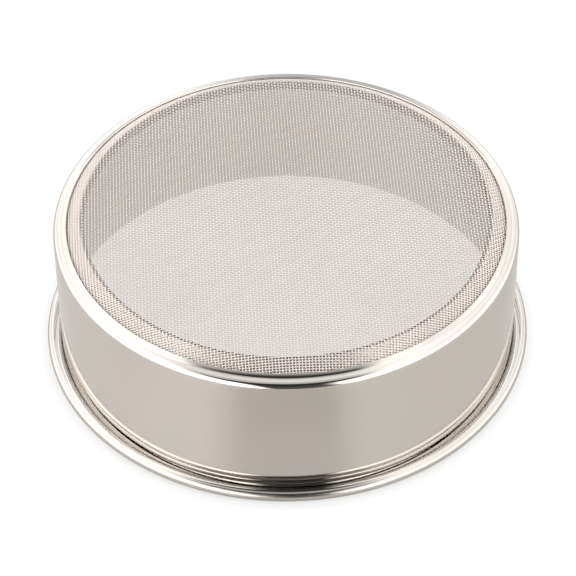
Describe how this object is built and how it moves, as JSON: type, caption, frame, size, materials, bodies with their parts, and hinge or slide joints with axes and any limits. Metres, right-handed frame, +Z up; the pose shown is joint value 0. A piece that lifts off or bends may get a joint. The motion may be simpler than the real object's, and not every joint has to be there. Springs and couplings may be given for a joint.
{
  "type": "flour sieve",
  "caption": "Round stainless drum sieve with a rolled flange at the open end and a disc of woven wire cloth held by an inner clamp ring, for sifting flour and dusting sugar.",
  "frame": {"origin": "on the drum's axis, at the flat underside of the flange that the sieve stands on", "axes": "+Z up along the drum's axis from the open end to the wire cloth; the wires of the cloth run along X and Y"},
  "size_m": [0.165, 0.165, 0.0532],
  "materials": {
    "polished_sheet": "polished stainless sheet, mirror-like, with faint draw marks",
    "wire_cloth": "plain-weave bright stainless wire",
    "ring_sheet": "pressed stainless sheet, bright"
  },
  "bodies": {
    "root": {"drum_shell": "polished_sheet", "mesh_screen": "wire_cloth", "clamp_ring": "ring_sheet"}
  },
  "joints": []
}
